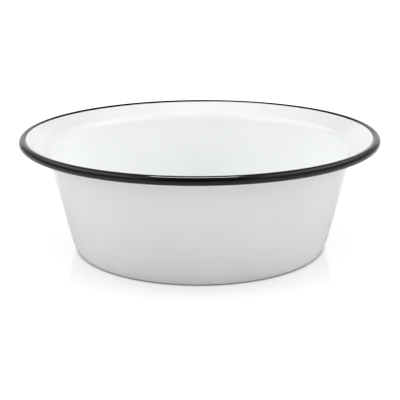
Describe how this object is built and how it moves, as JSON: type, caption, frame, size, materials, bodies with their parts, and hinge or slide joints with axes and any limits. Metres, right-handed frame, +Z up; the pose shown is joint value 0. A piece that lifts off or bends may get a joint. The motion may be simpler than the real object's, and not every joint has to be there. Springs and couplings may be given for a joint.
{
  "type": "enamel basin",
  "caption": "Round enamelled steel basin with a straight flared wall, a sloping lip and a rolled black rim, for washing, mixing or serving.",
  "frame": {"origin": "centre of the standing ring, on the plane that the basin stands on", "axes": "+Z up along the basin's axis of revolution; X and Y lie in the standing plane and are alike by symmetry"},
  "size_m": [0.3, 0.3, 0.097],
  "materials": {
    "steel": "pickled low-carbon sheet steel, hidden under the enamel",
    "ground_enamel": "fired dark blue-black ground coat, hidden under the cover coats",
    "white_enamel": "fired gloss white enamel",
    "black_enamel": "fired gloss black enamel"
  },
  "bodies": {
    "root": {"steel_shell": "steel", "ground_coat_inside": "ground_enamel", "ground_coat_outside": "ground_enamel", "white_enamel_inside": "white_enamel", "white_enamel_outside": "white_enamel", "black_rim_enamel": "black_enamel"}
  },
  "joints": []
}
